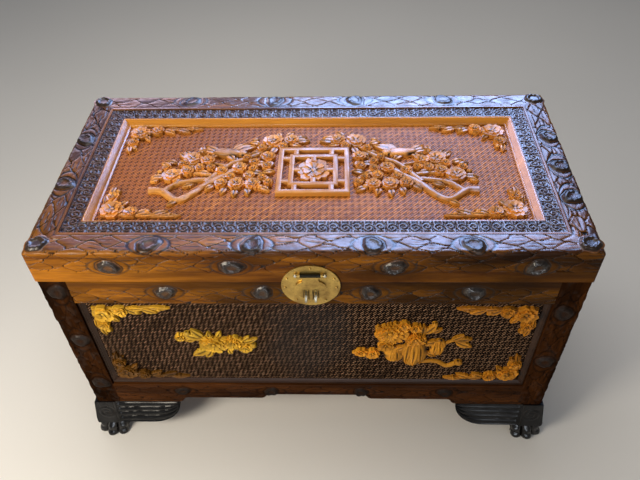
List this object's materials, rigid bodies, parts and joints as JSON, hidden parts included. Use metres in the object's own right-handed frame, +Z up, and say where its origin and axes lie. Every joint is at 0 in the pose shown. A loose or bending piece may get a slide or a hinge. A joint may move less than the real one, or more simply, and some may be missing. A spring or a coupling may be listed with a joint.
{
  "type": "storage chest",
  "caption": "Carved wooden storage chest with woven bamboo panels, applied flower carvings, a hinged lid, a round brass hasp lock and paw feet.",
  "frame": {"origin": "on the floor, under the middle of the chest's overall box", "axes": "+X along the front to the right as seen by a person facing it, +Y from the front to the back, +Z up"},
  "size_m": [1.068, 0.55, 0.6095],
  "materials": {
    "carved_wood": "lacquered",
    "dark_wood": "lacquered",
    "board_wood": "oiled",
    "lid_mat": "varnished",
    "side_mat": "varnished",
    "carving_wood": "lacquered",
    "brass": "worn"
  },
  "bodies": {
    "case": {"front_top_rail": "carved_wood", "front_apron": "carved_wood", "front_weave": "side_mat", "front_panel_moulding": "carved_wood", "right_top_rail": "carved_wood", "right_apron": "carved_wood", "right_weave": "side_mat", "right_panel_moulding": "carved_wood", "back_top_rail": "carved_wood", "back_apron": "carved_wood", "left_top_rail": "carved_wood", "left_apron": "carved_wood", "left_weave": "side_mat", "left_panel_moulding": "carved_wood", "post_front_left": "carved_wood", "foot_front_left": "dark_wood", "post_front_right": "carved_wood", "foot_front_right": "dark_wood", "post_back_right": "carved_wood", "foot_back_right": "dark_wood", "post_back_left": "carved_wood", "foot_back_left": "dark_wood", "front_board": "board_wood", "back_board": "board_wood", "left_board": "board_wood", "right_board": "board_wood", "bottom_board": "board_wood", "front_corner_carvings": "carving_wood", "front_spray_right": "carving_wood", "front_spray_left": "carving_wood", "end_corner_carvings": "carving_wood", "lock_plate_lower": "brass", "padlock_staples": "brass", "hinge_case_leaves": "brass", "hinge_pins": "brass", "case_screws": "brass", "case_plate_nails": "brass"},
    "lid": {"lid_front_rail": "carved_wood", "lid_right_rail": "carved_wood", "lid_back_rail": "carved_wood", "lid_left_rail": "carved_wood", "lid_board": "board_wood", "lid_weave": "lid_mat", "scroll_border": "dark_wood", "lid_panel_moulding": "carved_wood", "lid_corner_carvings": "carving_wood", "lid_branch_left": "carving_wood", "lid_branch_right": "carving_wood", "lid_medallion": "carving_wood", "lock_plate_upper": "brass", "hasp_pin": "brass", "hinge_lid_leaves": "brass", "lid_screws": "brass", "lid_plate_nails": "brass"},
    "hasp": {"hasp": "brass"}
  },
  "joints": [
    {"name": "lid_hinge", "type": "hinge", "parent": "case", "child": "lid", "pos_m": [0, 0.2557, 0.529], "axis": [-1, 0, 0], "range_deg": [0, 100]},
    {"name": "hasp_swing", "type": "hinge", "parent": "lid", "child": "hasp", "pos_m": [0, -0.2573, 0.553], "axis": [-1, 0, 0], "range_deg": [0, 165]}
  ]
}
